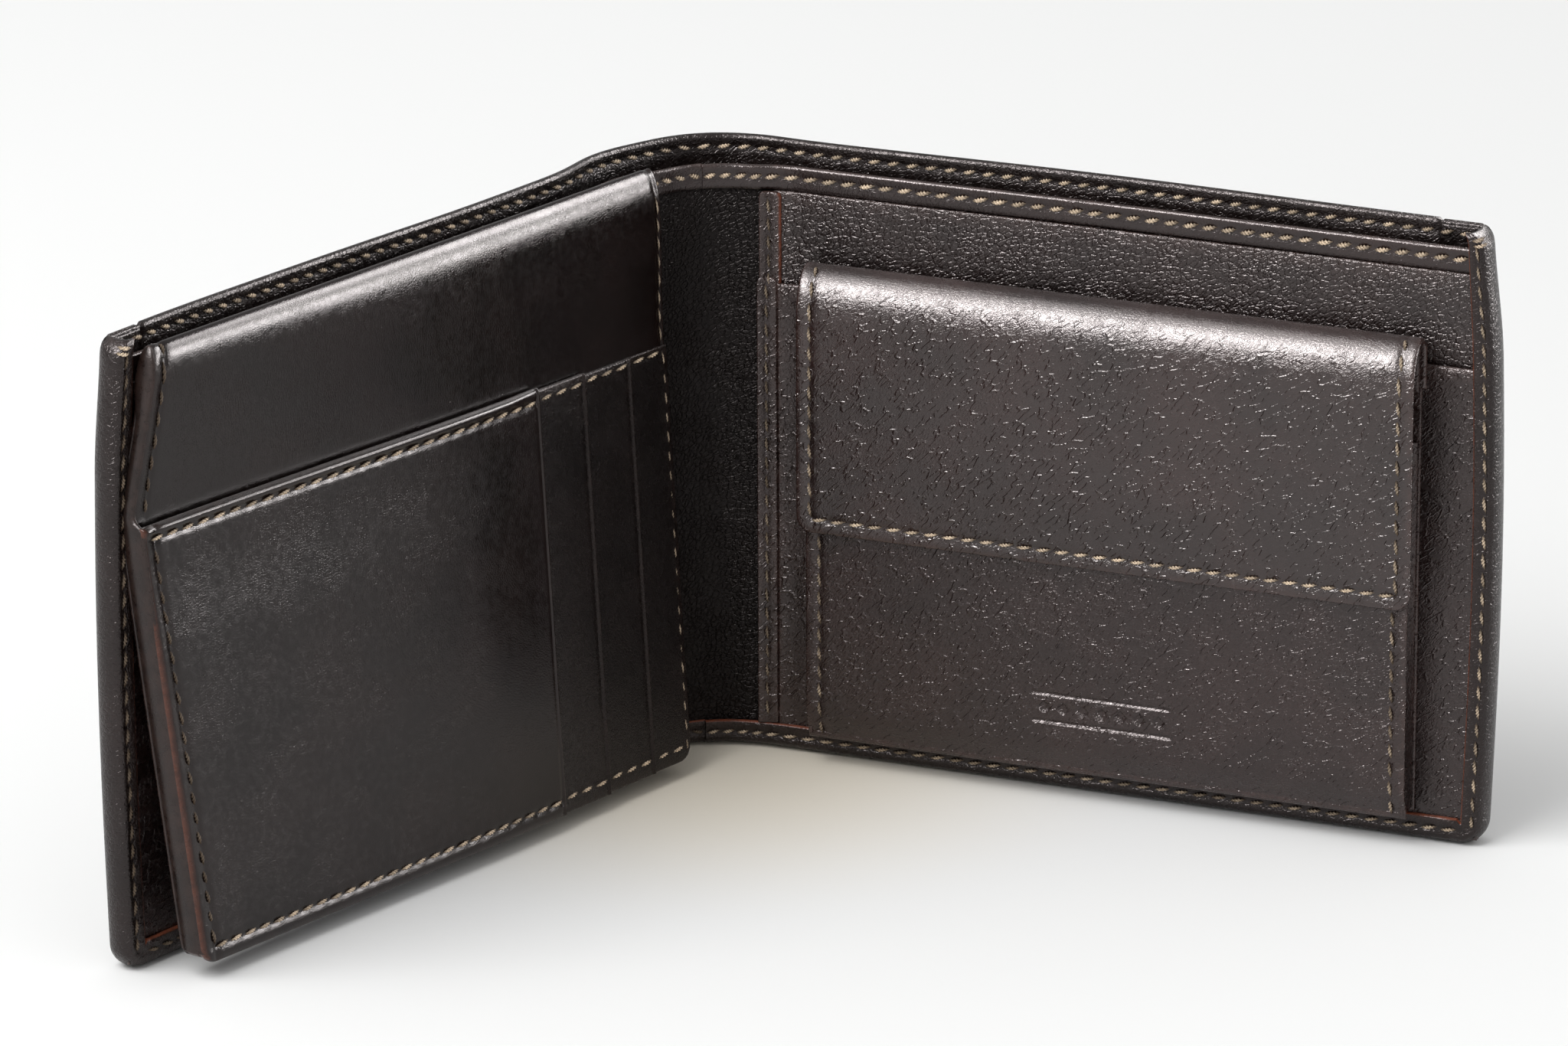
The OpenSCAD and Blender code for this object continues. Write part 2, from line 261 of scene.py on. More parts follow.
def slab(name, place, a, q, thick, material, rim=0.3, soft=(1, 1, 1, 1), raw=(0, 0, 0, 0),
         radii=(0, 0, 0, 0), top=None, seams=()):
    """A closed sheet of leather. soft and raw name the sides: low a, high a, low q, high q."""
    A, Q = np.meshgrid(a, q, indexing="ij")
    gaps = [A - a[0], a[-1] - A, Q - q[0], q[-1] - Q]
    far = np.full_like(A, 99.0)
    edge = np.minimum.reduce([g if s else far for g, s in zip(gaps, soft)])
    bare = np.maximum.reduce([s * np.clip(1 - g / (0.8 * rim), 0, 1) for g, s in zip(gaps, raw)])
    drop = rim * (1 - np.sqrt(1 - np.clip(1 - edge / rim, 0, 1) ** 2))
    lift = top(A, Q) if top else np.zeros_like(A)
    skin = lift - drop - groove(A, Q, seams)
    under = lift - (thick(A, Q) if callable(thick) else thick) + drop
    A, Q = round_corners(A, Q, radii)
    points = np.concatenate([place(A, skin, Q).reshape(-1, 3), place(A, under, Q).reshape(-1, 3)])
    n, m = A.shape
    count = n * m
    faces = [grid_faces(n, m), grid_faces(n, m, count, True)]
    loop = [i * m for i in range(n)] + [(n - 1) * m + j for j in range(1, m)]
    loop += [i * m + m - 1 for i in range(n - 2, -1, -1)] + list(range(m - 2, 0, -1))
    loop = np.array(loop)
    after = np.roll(loop, -1)
    faces.append(np.stack([loop, loop + count, after + count, after], 1))
    wear = np.exp(-edge / 0.55)
    marks = {"wear": np.tile(wear.ravel(), 2), "bare": np.tile(bare.ravel(), 2)}
    return make_object(name, points, np.concatenate(faces), material, marks)


def stitch_shape(rings=13, sides=6):
    """One stitch of two-ply twisted thread: along, across, up and shade of its points, and faces."""
    t = np.linspace(0, 1, rings)[:, None]
    turn = np.linspace(0, 2 * np.pi, sides, endpoint=False)[None, :]
    body = np.sin(np.pi * np.clip(t, 0.02, 0.98)) ** 0.7
    shapes, faces = [], []
    for ply in (0, 1):
        phase = np.pi * ply + 5.0 * np.pi * t
        across = 0.17 * (2 * t - 1) + 0.16 * body * np.cos(phase) + 0.17 * body * np.cos(turn)
        up = 0.30 * body - 0.16 + 0.12 * body * np.sin(phase) + 0.16 * body * np.sin(turn)
        along = t * np.ones_like(turn)
        start = ply * rings * sides
        # Painted shade: points low between the plies and near a stitch's ends get a darker shade value.
        light = np.clip((up - up.min()) / (up.max() - up.min()), 0, 1) ** 1.3 * np.clip(body, 0.3, 1)
        shapes.append(np.stack([along, across, up, light], -1).reshape(-1, 4))
        for r in range(rings - 1):
            for k in range(sides):
                k2 = (k + 1) % sides
                faces.append([start + r * sides + k, start + r * sides + k2,
                              start + (r + 1) * sides + k2, start + (r + 1) * sides + k])
        faces.append([start + k for k in range(sides)][::-1])
        faces.append([start + (rings - 1) * sides + k for k in range(sides)])
    return np.concatenate(shapes), faces


STITCH, STITCH_FACES = stitch_shape()
STITCH_SHARE = 0.86


def sunk(depth, top=None):
    """Height at which a seam's stitches lie in the leather, whose skin a top function may shape."""
    def surface(a, q):
        lift = float(top(np.array(a), np.array(q))) if top else 0.0
        return lift - depth
    return surface


def sew(name, place, runs, material, surface=None, slant=1, shade_dimming=1.0, share=STITCH_SHARE, fat=1.0):
    """Stitches along straight runs ((a, q) to (a, q)) on a placed surface."""
    points, faces, shade = [], [], []
    for (a0, q0), (a1, q1) in runs:
        length = math.hypot(a1 - a0, q1 - q0)
        count = max(1, round(length / PITCH))
        step = length / count
        da, dq = (a1 - a0) / length, (q1 - q0) / length
        for i in range(count):
            # Each stitch's shade is random tone of the thread times a seam-wide dimming that paints the shade
            # the seam lies in.
            skew, lift, dye_and_shade = rng.normal(0, 0.04), rng.normal(0, 0.03), shade_dimming * rng.uniform(0.6, 1.0)
            along = (i + 0.5 + share * (STITCH[:, 0] - 0.5)) * step
            across = slant * fat * STITCH[:, 1] + skew * (STITCH[:, 0] - 0.5)
            a = a0 + along * da - across * dq
            q = q0 + along * dq + across * da
            mid = (a0 + (i + 0.5) * step * da, q0 + (i + 0.5) * step * dq)
            base = surface(*mid) if surface else 0.0
            h = base + (fat * STITCH[:, 2] + lift)
            start = sum(len(p) for p in points)
            points.append(place(a, h, q))
            faces += [[start + k for k in f] for f in STITCH_FACES]
            shade += list(dye_and_shade * (0.25 + 0.75 * STITCH[:, 3]))
    return make_object(name, np.concatenate(points), faces, material, {"shade": shade}, merge=False)


# ---- materials ----

PULL_RISE = 0.72

class Nodes:
    """Short calls for building one material's node tree."""

    def __init__(self, name):
        self.material = bpy.data.materials.new(name)
        self.material.use_nodes = True
        self.tree = self.material.node_tree
        self.shader = self.tree.nodes["Principled BSDF"]
        place = self.tree.nodes.new("ShaderNodeTexCoord")
        self.place = place.outputs["Object"]

    def node(self, kind, inputs=(), **settings):
        node = self.tree.nodes.new(kind)
        for key, value in settings.items():
            setattr(node, key, value)
        for key, value in dict(inputs).items():
            self.feed(node.inputs[key], value)
        return node

    def feed(self, socket, value):
        if hasattr(value, "is_linked"):
            self.tree.links.new(value, socket)
        else:
            socket.default_value = value

    def math(self, operation, a, b=0.0):
        return self.node("ShaderNodeMath", {0: a, 1: b}, operation=operation).outputs[0]

    def ramp(self, value, lo, hi, to_lo=0.0, to_hi=1.0):
        inputs = {"Value": value, "From Min": lo, "From Max": hi, "To Min": to_lo, "To Max": to_hi}
        return self.node("ShaderNodeMapRange", inputs, interpolation_type="SMOOTHSTEP").outputs[0]

    def noise(self, size, detail):
        inputs = {"Vector": self.place, "Scale": 1 / (size * MM), "Detail": detail, "Roughness": 0.55}
        return self.node("ShaderNodeTexNoise", inputs).outputs["Fac"]

    def cells(self, size, where):
        """Distance to the edges of irregular cells."""
        inputs = {"Vector": where, "Scale": 1 / (size * MM), "Randomness": 1.0}
        node = self.node("ShaderNodeTexVoronoi", inputs, feature="DISTANCE_TO_EDGE")
        return node.outputs["Distance"]

    def pulled(self, where, pull):
        """Coordinates in which a pattern is pulled along a line rising to the right."""
        inputs = {"Vector": where, "Rotation": (0.0, -PULL_RISE, 0.0), "Scale": (pull, 1.0, 1.0)}
        return self.node("ShaderNodeMapping", inputs, vector_type="TEXTURE").outputs["Vector"]

    def warped(self, amount, size):
        noise = self.node("ShaderNodeTexNoise", {"Vector": self.place, "Scale": 1 / (size * MM)})
        shift = self.node("ShaderNodeVectorMath", {0: noise.outputs["Color"], 1: (amount * MM,) * 3},
                          operation="MULTIPLY").outputs[0]
        return self.node("ShaderNodeVectorMath", {0: self.place, 1: shift}).outputs[0]

    def attribute(self, name):
        return self.node("ShaderNodeAttribute", attribute_name=name).outputs["Fac"]

    def mix(self, factor, a, b):
        node = self.tree.nodes.new("ShaderNodeMix")
        node.data_type = "RGBA"
        self.feed(node.inputs["Factor"], factor)
        for socket, value in (("A_Color", a), ("B_Color", b)):
            self.feed(next(i for i in node.inputs if i.identifier == socket), value)
        return next(o for o in node.outputs if o.identifier == "Result_Color")


def leather(name, colour, grain=0.45, depth=0.05, pull=1.5, crease=0.0, crease_size=1.0, gloss=0.30,
            shine=0.45, swell=0.05, tint=0.90, crease_top=200.0):
    """Dyed leather: flat-topped pebbles with painted shade in the valleys between them, fine raised creases,
    worn rims and bare cut edges.

    Depth, crease and swell are heights in millimetres. Pebbles and creases are pulled along a
    line that rises to the right.
    """
    n = Nodes(name)
    where = n.warped(0.5, 1.3)
    pulled = n.pulled(where, pull)
    pebbles = n.ramp(n.cells(grain, pulled), 0.0, 0.20)
    specks = n.ramp(n.cells(grain * 0.42, pulled), 0.0, 0.25)
    height = n.math("ADD", n.math("MULTIPLY", pebbles, 0.8), n.math("MULTIPLY", specks, 0.28))
    patches = n.ramp(n.noise(7.0, 2.0), 0.35, 0.65, 0.7 * depth, 1.15 * depth)
    height = n.math("MULTIPLY", height, patches)
    if crease:
        lines = n.ramp(n.cells(crease_size, n.pulled(where, 4.0)), 0.0, 0.12, crease, 0.0)
        height_up = n.node("ShaderNodeSeparateXYZ", {"Vector": n.place}).outputs["Z"]
        below = n.ramp(height_up, crease_top * MM, (crease_top - 5) * MM)
        broken = n.math("MULTIPLY", n.ramp(n.noise(1.5, 2.0), 0.42, 0.58), below)
        height = n.math("ADD", height, n.math("MULTIPLY", lines, broken))
    height = n.math("ADD", height, n.math("MULTIPLY", n.noise(6.0, 2.0), swell))
    bump = n.node("ShaderNodeBump", {"Height": height, "Strength": 1.0, "Distance": MM})
    dark = tuple(c * 0.55 for c in colour) + (1.0,)
    light = tuple(c * 1.4 for c in colour) + (1.0,)
    rubbed = (colour[0] * 2.2 + 0.016, colour[1] * 2.0 + 0.010, colour[2] * 1.9 + 0.008, 1.0)
    dye_and_shade = n.mix(n.ramp(n.noise(14.0, 3.0), 0.3, 0.7), dark, light)
    # Painted shade: the valleys between the pebbles are darkened.
    dye_and_shade = n.mix(n.ramp(pebbles, 0.0, 0.5, 0.6, 0.0), dye_and_shade, dark)
    worn = n.math("MULTIPLY", n.attribute("wear"), n.ramp(n.noise(2.2, 3.0), 0.35, 0.65, 0.2, 0.8))
    dye_and_shade = n.mix(worn, dye_and_shade, rubbed)
    bare = n.math("MULTIPLY", n.attribute("bare"), n.ramp(n.noise(1.2, 3.0), 0.3, 0.6, 0.5, 1.0))
    dye_and_shade = n.mix(bare, dye_and_shade, (0.26, 0.070, 0.032, 1.0))
    rough = n.ramp(n.noise(1.1, 4.0), 0.25, 0.75, gloss - 0.06, gloss + 0.08)
    rough = n.math("ADD", rough, n.math("MULTIPLY", n.attribute("bare"), 0.3))
    n.feed(n.shader.inputs["Base Color"], dye_and_shade)
    n.feed(n.shader.inputs["Roughness"], rough)
    n.feed(n.shader.inputs["Normal"], bump.outputs[0])
    n.shader.inputs["Specular IOR Level"].default_value = shine
    n.shader.inputs["Specular Tint"].default_value = (1.0, tint, tint - 0.01, 1.0)
    return n.material


def waxed_thread():
    n = Nodes("thread_tan")
    shade = n.attribute("shade")
    fibres = n.noise(0.14, 3.0)
    # The shade value paints shade on the thread: near black where it is low, cream where it is high.
    tint = n.mix(n.ramp(shade, 0.0, 1.0), (0.035, 0.023, 0.015, 1), (0.95, 0.76, 0.56, 1))
    tint = n.mix(n.ramp(fibres, 0.45, 0.7), tint, (0.09, 0.055, 0.032, 1))
    bump = n.node("ShaderNodeBump", {"Height": fibres, "Strength": 0.7, "Distance": 0.08 * MM})
    n.feed(n.shader.inputs["Base Color"], tint)
    n.feed(n.shader.inputs["Normal"], bump.outputs[0])
    n.shader.inputs["Roughness"].default_value = 0.7
    n.shader.inputs["Specular IOR Level"].default_value = 0.15
    return n.material


def woven_lining():
    n = Nodes("note_lining_cloth")
    across = n.node("ShaderNodeTexWave", {"Vector": n.place, "Scale": 900.0, "Distortion": 0.6},
                    bands_direction="X").outputs["Fac"]
    up = n.node("ShaderNodeTexWave", {"Vector": n.place, "Scale": 900.0, "Distortion": 0.6},
                bands_direction="Z").outputs["Fac"]
    weave = n.math("MAXIMUM", across, up)
    tint = n.mix(weave, (0.012, 0.008, 0.006, 1), (0.040, 0.027, 0.021, 1))
    bump = n.node("ShaderNodeBump", {"Height": weave, "Strength": 0.6, "Distance": 0.08 * MM})
    n.feed(n.shader.inputs["Base Color"], tint)
    n.feed(n.shader.inputs["Normal"], bump.outputs[0])
    n.shader.inputs["Roughness"].default_value = 0.75
    n.shader.inputs["Sheen Weight"].default_value = 0.3
    return n.material


def stud_metal():
    n = Nodes("stud_brass")
    rubs = n.noise(0.6, 4.0)
    tint = n.mix(n.ramp(rubs, 0.35, 0.7), (0.50, 0.36, 0.15, 1), (0.72, 0.58, 0.30, 1))
    n.feed(n.shader.inputs["Base Color"], tint)
    n.feed(n.shader.inputs["Roughness"], n.ramp(rubs, 0.3, 0.7, 0.25, 0.42))
    n.shader.inputs["Metallic"].default_value = 1.0
    return n.material


COVER = leather("cover_leather_grained", (0.0078, 0.0045, 0.0040), grain=0.60, depth=0.040, pull=1.6,
                crease=0.030, gloss=0.25, shine=0.42, swell=0.04)
HEADER = leather("header_leather_pebbled", (0.0105, 0.0057, 0.0050), grain=0.64, depth=0.078, pull=2.0,
                 gloss=0.25, shine=0.66, swell=0.06)
# A much darker leather for the divider below its hem: painted shade deep in the spine's fold.
SPINE_SHADED_LEATHER = leather("spine_leather_pebbled_shaded", (0.0038, 0.0026, 0.0024), grain=0.70, depth=0.110,
                        gloss=0.30, shine=0.17)
FLAP = leather("flap_leather_creased", (0.0170, 0.0078, 0.0068), grain=0.34, depth=0.017, pull=2.2,
               crease=0.078, crease_size=0.9, gloss=0.22, shine=0.78, swell=0.02, tint=0.93, crease_top=78.0)
COIN = leather("coin_leather_fine", (0.0130, 0.0062, 0.0054), grain=0.40, depth=0.030, pull=2.2,
               crease=0.070, crease_size=0.9, gloss=0.25, shine=0.66, swell=0.03)
HEM = leather("hem_leather_smooth", (0.0115, 0.0060, 0.0053), grain=0.40, depth=0.018, pull=2.0,
              crease=0.020, gloss=0.22, shine=0.60, swell=0.03)
WING = leather("wing_leather_smooth", (0.0064, 0.0034, 0.0030), grain=0.36, depth=0.008, gloss=0.18,
               shine=0.36, swell=0.012, tint=0.93)
SLOT = leather("slot_leather_fine", (0.0045, 0.0028, 0.0025), grain=0.40, depth=0.030, gloss=0.24,
               shine=0.26, swell=0.03)
EDGE_PAINT = leather("wing_edge_paint", (0.0080, 0.0042, 0.0034), grain=0.50, depth=0.010, gloss=0.30,
                     shine=0.36, swell=0.03, tint=0.93)
THREAD = waxed_thread()
CLOTH = woven_lining()
BRASS = stud_metal()

# ---- the cover ----

SEAM = 2.2
SHELL_THICK = 0.682
BORDER = {1: (4.2, 3.5), -1: (4.2, 3.7)}
LIP = {side: local_box(name, half)[1][1]
       for side, name, half in ((1, "cover_right", RIGHT), (-1, "cover_left", LEFT))}
OUTER_BAND = 7.0
TUCK_BOTTOM, TUCK_EDGE = 8.8, 9.4
CORNER_R = 3.6
EDGE_SKIN = 0.9
RIM_FLATNESS = 0.55
TOP_TURN = 5.5
TOP_R = 0.68


def cover_columns():
    """Lines along the cover from the spine's mid-line to where the border begins."""
    return grid_lines(MID, HALF - OUTER_BAND, STEP, rim=0.4)


def on_cover(side):
    """h is outwards. q rises up the outer face to the top, then turns over and down inside."""
    top_q = HEIGHT - TOP_R
    turn = math.pi * TOP_R

    def place(a, h, q):
        theta = np.clip(q - top_q, 0, turn) / TOP_R
        down = np.maximum(q - top_q - turn, 0)
        depth = TOP_R * (1 - np.cos(theta)) - h * np.cos(theta)
        z = np.minimum(q, top_q) + (TOP_R + h) * np.sin(theta) - down
        s = sided(side, trim_top(a, z) + bow(z) * smooth(a, HALF - 25, HALF))
        return on_row(s, depth + waviness(s, z), z)
    return place


def on_border(side):
    """p runs down the free edge, round the corner and along the bottom to the spine.
    q runs from the border's cut edge, over its rim, to the outer face. h is outwards."""
    lip = LIP[side]
    free = HEIGHT - 0.3 - CORNER_R
    arc = CORNER_R * math.pi / 2
    rim_r = lip / 2
    rim_len = math.pi * rim_r * 0.8

    def place(p, h, q):
        p, h, q = np.broadcast_arrays(np.asarray(p, float), h, q)
        phi = np.clip(p - free, 0, arc) / CORNER_R
        width = BORDER[side][1] + (BORDER[side][0] - BORDER[side][1]) * phi / (math.pi / 2)
        reach = rim_r * RIM_FLATNESS
        strip = width - reach
        theta = np.clip((q - strip) / rim_len, 0, 1) * math.pi
        inset = width - np.clip(q, 0, strip) - reach * np.sin(theta)
        inset = inset + np.maximum(q - strip - rim_len, 0)
        depth = rim_r * (1 + np.cos(theta)) + h * np.cos(theta)
        inset = inset - h * np.sin(theta)
        z_edge = HEIGHT - 0.3 - p
        a_bottom = HALF - (p - free - arc) - CORNER_R
        inner = np.maximum(CORNER_R - inset, 0)
        a_arc = HALF - CORNER_R + inner * np.cos(phi) - np.maximum(inset - CORNER_R, 0)
        z_arc = CORNER_R - inner * np.sin(phi) + np.maximum(inset - CORNER_R, 0)
        on_edge, on_base = p < free, p > free + arc
        a = np.where(on_edge, HALF - inset, np.where(on_base, np.minimum(a_bottom, HALF - inset), a_arc))
        z = np.where(on_edge, np.maximum(z_edge, inset), np.where(on_base, inset, z_arc))
        s = sided(side, trim_top(a, z) + bow(z) * smooth(a, HALF - 25, HALF))
        lip_rise = spine_bulge(s) * 0.25 * smooth(theta, math.pi, 0)
        return on_row(s, depth + lip_rise + waviness(s, z) * (0.4 + 0.6 * smooth(theta, 0, math.pi)), z)
    return place, strip_width(side), free + arc, rim_len


def strip_width(side):
    """Flat width of the border's strip along the free edge and along the bottom."""
    reach = LIP[side] / 2 * RIM_FLATNESS
    return [w - reach for w in BORDER[side][::-1]]


def build_cover(side):
    """The shell, its turned border and their seams, for one half and its side of the spine."""
    word = WORD[side]
    place = on_cover(side)
    columns = cover_columns()
    end_q = HEIGHT - TOP_R + math.pi * TOP_R + TOP_TURN
    rows = grid_lines(OUTER_BAND, end_q, 3.0,
                      fine=(HEIGHT - SEAM - 0.3, end_q - TOP_TURN + SEAM - 0.3 - TOP_R), rim=0.5)
    turn_rows = HEIGHT - TOP_R + np.linspace(0, math.pi * TOP_R, 9)
    rows = np.unique(np.concatenate([rows, TUCK_BOTTOM + np.array([0.0, 0.3, 0.6]), turn_rows]))
    far = HALF - 0.7
    columns_top = np.concatenate([columns[columns < HALF - TUCK_EDGE - 1],
                                  np.linspace(HALF - TUCK_EDGE - 0.6, far, 40)])
    seam_outer = HEIGHT - SEAM - 0.3
    seam_inner = HEIGHT - TOP_R + math.pi * TOP_R + SEAM - 0.3 - TOP_R
    seams = (("a", seam_outer, columns[0], HALF - 4), ("a", seam_inner, columns[0], HALF - 4))

    def tucked(a, q):
        """The shell runs on underneath the border's turned leather."""
        under = np.maximum(smooth(q, TUCK_BOTTOM + 0.6, TUCK_BOTTOM),
                           smooth(a, HALF - TUCK_EDGE - 0.6, HALF - TUCK_EDGE))
        return -0.35 * under

    shell = slab(f"cover_leather_{word}", place, columns_top, rows, SHELL_THICK, COVER, rim=0.25,
                 soft=(0, 0, 0, 1), raw=(0, 0, 0, 1), top=tucked, seams=seams)
    border, strips, base_p, rim_len = on_border(side)
    p_end = base_p + HALF - CORNER_R + ARC / 2
    p_lines = np.unique(np.concatenate([
        np.linspace(0, base_p - CORNER_R * math.pi / 2, 110),
        np.linspace(base_p - CORNER_R * math.pi / 2, base_p, 10),
        base_p + HALF - CORNER_R - columns[columns < HALF - CORNER_R],
    ]))
    q_end = max(strips) + rim_len + OUTER_BAND
    q_lines = np.unique(np.concatenate([
        [0, 0.03, 0.1, 0.25, 0.5, 0.8, 1.15, 1.5, 1.85, 2.2],
        np.linspace(min(strips), max(strips) + rim_len, 16), np.linspace(max(strips) + rim_len, q_end, 4)]))
    seam_q = 1.75
    edge = slab(f"cover_border_{word}", border, p_lines, q_lines, EDGE_SKIN, COVER, rim=0.25,
                soft=(1, 0, 1, 0), raw=(0, 0, 1, 0), seams=(("a", seam_q, 1.0, p_end),))
    flat_end = HALF - 4.2
    top_seam = sew(f"cover_top_stitches_{word}", place,
                   [((columns[0], seam_inner), (flat_end, seam_inner))], THREAD,
                   surface=sunk(0.12), slant=-1, fat=1.25, share=0.72)
    top_back = sew(f"cover_top_stitches_back_{word}", place,
                   [((columns[0], seam_outer), (flat_end, seam_outer))], THREAD, surface=sunk(0.12))
    turn_p = base_p - CORNER_R * math.pi / 2
    # The border's stitches are dimmed as painted shade, the left half's most.
    edge_seam = sew(f"border_stitches_{word}", border,
                    [((1.5, seam_q), (turn_p + 1.2, seam_q)), ((base_p + 0.2, seam_q), (p_end, seam_q))],
                    THREAD, surface=sunk(0.12), shade_dimming=0.75 if side > 0 else 0.3)
    back_q = q_end - OUTER_BAND + 2.4
    edge_back = sew(f"border_stitches_back_{word}", border,
                    [((1.5, back_q), (turn_p - 0.5, back_q)), ((base_p + 1.0, back_q), (p_end, back_q))],
                    THREAD)
    wrap = sew(f"corner_wrap_stitches_{word}", border,
               [((p, 0.8), (p, 0.8 + 1.3 * PITCH)) for p in (0.9, 1.7)], THREAD, surface=sunk(0.05),
               share=0.97)
    return [shell, edge, top_seam, top_back, edge_seam, edge_back, wrap]


# ---- fold points round the spine, and binding pieces to bodies ----

def split_fold(side, near, far):
    """Start and end of the soft bend round a fold line, from the half into the spine."""
    half, spine = sided(side, near), sided(side, -far)
    points = [on_row(s, HINGE_DEPTH, 0.0) * MM for s in (half, spine)]
    return [tuple(float(x) for x in p) for p in points]


def bend_with(side, obj, near=5.5, far=5.5):
    start, end = split_fold(side, near, far)
    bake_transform(obj)
    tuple(start)
    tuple(end)
    return obj


def fix(obj, body, slot, *nodes):
    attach(obj, body)
    if nodes:
        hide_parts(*nodes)
    return obj


for side, word in WORD.items():
    pieces = build_cover(side)
    for piece in pieces:
        bend_with(side, piece)
    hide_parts(f"cover_{word}", "cover_spine")
    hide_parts(f"cover_top_thread_{word}", "cover_top_thread_spine")
    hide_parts(f"border_thread_{word}")

# ---- note compartment lining and divider ----

DIVIDER_TOP = local_box("divider_right", RIGHT)[1][2]
DIVIDER_DEPTH = local_box("header_panel_right", RIGHT)[0][1]
HEM_WIDTH = 3.8

for side, word in WORD.items():
    cloth = slab(f"note_lining_{word}", on_half(side, 2.0, soft=1.0),
                 grid_lines(MID, HALF - 1.5, 2.5), grid_lines(1.2, HEIGHT - TOP_TURN, 6.0), 0.3, CLOTH,
                 rim=0.1, soft=(0, 1, 1, 1))
    bend_with(side, cloth)
    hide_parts(f"note_lining_{word}", "note_lining_spine")

    bulge = 0.35 if side > 0 else 0.0

    def hem_step(a, q):
        hem_edge = DIVIDER_TOP - HEM_WIDTH
        return 0.42 * smooth(q, hem_edge - 0.1, hem_edge + 0.12) + bulge * smooth(q, 84, 92)

    hem_seam = DIVIDER_TOP - HEM_WIDTH * 0.46
    place = on_half(side, DIVIDER_DEPTH, soft=0.5)
    divider_end = HALF - (1.4 if side > 0 else 4.4)
    rows = grid_lines(1.0, DIVIDER_TOP, 3.0, fine=(hem_seam, DIVIDER_TOP - HEM_WIDTH), rim=0.45)
    seams = (("a", hem_seam, MID, divider_end - 2.4),)
    divider = slab(f"divider_leather_{word}", place, grid_lines(MID, divider_end, STEP), rows, 0.95,
                   SPINE_SHADED_LEATHER, rim=0.45, soft=(0, 1, 1, 1), top=hem_step, seams=seams)
    # Below the hem the divider keeps the darker leather, as painted shade in the spine's fold; the hem above
    # is lighter.
    divider.data.materials.append(HEM)
    for polygon in divider.data.polygons:
        polygon.material_index = int(polygon.center.z > (DIVIDER_TOP - HEM_WIDTH) * MM)
    bend_with(side, divider, near=0.6, far=10.0)
    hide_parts(f"divider_{word}", "divider_spine")
    stitches = sew(f"divider_hem_stitches_{word}", place,
                   [((MID, hem_seam), (divider_end - 2.5, hem_seam))], THREAD,
                   surface=lambda a, q: 0.30 + bulge, fat=1.35)
    bend_with(side, stitches, near=0.6, far=10.0)
    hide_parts(f"divider_hem_thread_{word}", "divider_hem_thread_spine")

# ---- panels of the right half ----


def panel(name, node, side, material, step=STEP, reach=0.0, top=None):
    """A flat panel over its CAD node, with a soft rim; reach carries it on towards the spine."""
    lo, hi = local_box(node, RIGHT if side > 0 else LEFT)
    lo[0] -= reach
    piece = slab(name, on_half(side, hi[1], soft=0.3), grid_lines(lo[0], hi[0], step),
                 grid_lines(lo[2], hi[2], 2.5), hi[1] - lo[1], material, top=top)
    return fix(piece, WORD[side] + "_half", "pocket_leather", node)


SLIP_TOP = local_box("slip_pocket_right", RIGHT)[1][2]


def sag(a, q):
    """A pocket's mouth is a turned edge that relaxes outwards a little."""
    return 0.25 * smooth(q, 40, 74) + 0.3 * hump(q, SLIP_TOP - 0.8, 0.9)


panel("header_panel_leather", "header_panel_right", 1, HEADER)
panel("slip_pocket_leather", "slip_pocket_right", 1, COIN, reach=1.9, top=sag)
panel("coin_pocket_back_leather", "coin_pocket_back", 1, COIN, step=3.0)

strip_lo, strip_hi = local_box("turned_strip_right", RIGHT)
for word, lo, hi, seam_a, rise, raw in (("upper", SLIP_TOP - 2, strip_hi[2], -0.3, 0.25, 1),
                                        ("lower", strip_lo[2], SLIP_TOP + 0.8, -0.70, 0.42, 0)):
    place = on_half(1, strip_hi[1] + rise, soft=0.3)
    strip = slab(f"turned_strip_{word}_leather", place,
                 grid_lines(seam_a - 1.95, seam_a + 1.75, 0.4, fine=(seam_a,)), grid_lines(lo, hi, 0.8), 0.9,
                 COIN, rim=0.3, raw=(0, raw, 0, 0), radii=(0, 0, 0.9, 0.9),
                 seams=(("q", seam_a, lo, hi),))
    # The strip's stitches are dimmed as painted shade.
    stitches = sew(f"turned_strip_{word}_stitches", place, [((seam_a, hi - 0.8), (seam_a, lo + 1.0))],
                   THREAD, surface=sunk(0.12), shade_dimming=0.5)
    nodes = ("turned_strip_right", "strip_thread_right") if raw else ()
    fix(strip, "right_half", "pocket_leather", *nodes[:1])
    fix(stitches, "right_half", "thread", *nodes[1:])

# ---- coin pocket ----

front_lo, front_hi = local_box("coin_front_panel", RIGHT)
back_lo, back_hi = local_box("coin_pocket_back", RIGHT)
near_seam, far_seam = front_lo[0] + SEAM, front_hi[0] - SEAM
MARK_U = (front_lo[0] + front_hi[0]) / 2
MARK_Z = 15.0
MARK_DEPTH = 0.30


def mark(a, q):
    """A plain pressed mark: two fine rules with a row of lozenges between them."""
    across, up = a - MARK_U, q - MARK_Z
    inside = smooth(np.abs(across), 11.5, 10.5)
    rules = sum(hump(up, offset, 0.26) for offset in (-2.2, 2.2))
    cell = (across + 1.5) % 3.0 - 1.5
    lozenge = smooth(np.abs(cell) / 1.1 + np.abs(up) / 1.1, 1.0, 0.75)
    return -MARK_DEPTH * inside * np.clip(rules + lozenge, 0, 1)


